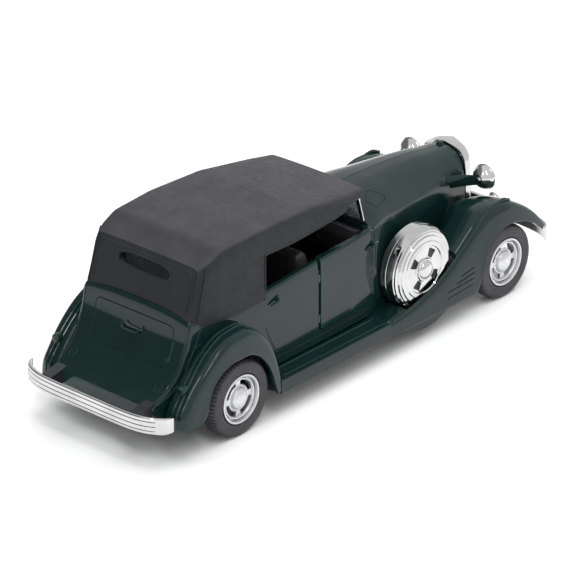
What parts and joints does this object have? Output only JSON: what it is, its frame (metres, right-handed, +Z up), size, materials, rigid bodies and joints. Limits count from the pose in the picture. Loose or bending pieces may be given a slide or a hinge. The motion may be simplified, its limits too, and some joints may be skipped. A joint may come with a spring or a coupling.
{
  "type": "diecast collector car",
  "caption": "Miniature 1930s-style open touring car with a rigid soft-top, side-mounted spares, opening front doors, rolling wheels and a pull-back drive.",
  "frame": {"origin": "on the ground under the middle of the overall box", "axes": "+X towards the front bumper, +Y to the left side of the car, +Z up"},
  "size_m": [0.1704, 0.0552, 0.0556],
  "materials": {
    "green_enamel": "dark green gloss enamel on cast zinc",
    "top_matte": "moulded, fine matte texture",
    "chrome_plating": "bright plating on moulded plastic",
    "tyre_rubber": "soft matte rubber",
    "rim_silver": "silver sprayed plastic",
    "base_plastic": "moulded black",
    "interior_plastic": "moulded dark brown-black",
    "steel": "drawn wire and pressed screw",
    "clear_styrene": "clear moulding",
    "motor_plastic": "natural acetal"
  },
  "bodies": {
    "car_body": {"body_shell": "green_enamel", "chassis_base": "base_plastic", "dashboard": "interior_plastic", "fender_left": "green_enamel", "fender_right": "green_enamel", "front_bumper": "chrome_plating", "front_seat": "interior_plastic", "handle_rear_left": "green_enamel", "handle_rear_right": "green_enamel", "headlight_arm_left": "green_enamel", "headlight_arm_right": "green_enamel", "headlight_bell_left": "chrome_plating", "headlight_bell_right": "chrome_plating", "headlight_lens_left": "clear_styrene", "headlight_lens_right": "clear_styrene", "hinge_pin_left": "steel", "hinge_pin_right": "steel", "horn_left": "chrome_plating", "horn_right": "chrome_plating", "interior_floor": "interior_plastic", "marker_lamp_left": "green_enamel", "marker_lamp_right": "green_enamel", "motor_case": "motor_plastic", "radiator_cap": "green_enamel", "radiator_grille": "chrome_plating", "radiator_shell": "chrome_plating", "rear_bumper": "chrome_plating", "rear_seat": "interior_plastic", "rear_window": "clear_styrene", "screw_front": "steel", "screw_rear": "steel", "soft_top": "top_matte", "spare_cover_left": "chrome_plating", "spare_cover_right": "chrome_plating", "spare_tyre_left": "tyre_rubber", "spare_tyre_right": "tyre_rubber", "spring_arbor": "steel", "steering_column": "base_plastic", "steering_wheel": "base_plastic", "tail_lamp_left": "green_enamel", "tail_lamp_right": "green_enamel", "windshield_frame": "chrome_plating", "windshield_glass": "clear_styrene"},
    "front_wheels": {"axle_front": "steel", "rim_front_right": "rim_silver", "rim_front_left": "rim_silver", "tyre_front_right": "tyre_rubber", "tyre_front_left": "tyre_rubber"},
    "rear_wheels": {"axle_rear": "steel", "axle_gear": "motor_plastic", "rim_rear_right": "rim_silver", "rim_rear_left": "rim_silver", "tyre_rear_right": "tyre_rubber", "tyre_rear_left": "tyre_rubber"},
    "spring_drum": {"spring_gear": "motor_plastic", "mainspring": "steel"},
    "door_right": {"door_front_right": "green_enamel"},
    "door_left": {"door_front_left": "green_enamel"}
  },
  "joints": [
    {"name": "front_axle_spin", "type": "hinge", "parent": "car_body", "child": "front_wheels", "pos_m": [0.0626, 0, 0.0113], "axis": [0, 1, 0], "continuous": true},
    {"name": "rear_axle_spin", "type": "hinge", "parent": "car_body", "child": "rear_wheels", "pos_m": [-0.0509, 0, 0.0113], "axis": [0, 1, 0], "continuous": true},
    {"name": "spring_drum_spin", "type": "hinge", "parent": "car_body", "child": "spring_drum", "pos_m": [-0.04323, 0, 0.01382], "axis": [0, 1, 0], "continuous": true},
    {"name": "door_right_hinge", "type": "hinge", "parent": "car_body", "child": "door_right", "pos_m": [-0.0119, -0.01975, 0.02], "axis": [0, 0, -1], "range_deg": [0, 62]},
    {"name": "door_left_hinge", "type": "hinge", "parent": "car_body", "child": "door_left", "pos_m": [-0.0119, 0.01975, 0.02], "axis": [0, 0, 1], "range_deg": [0, 62]}
  ],
  "couplings": [
    {"joint": "spring_drum_spin", "follows": "rear_axle_spin", "ratio": -0.66667}
  ]
}
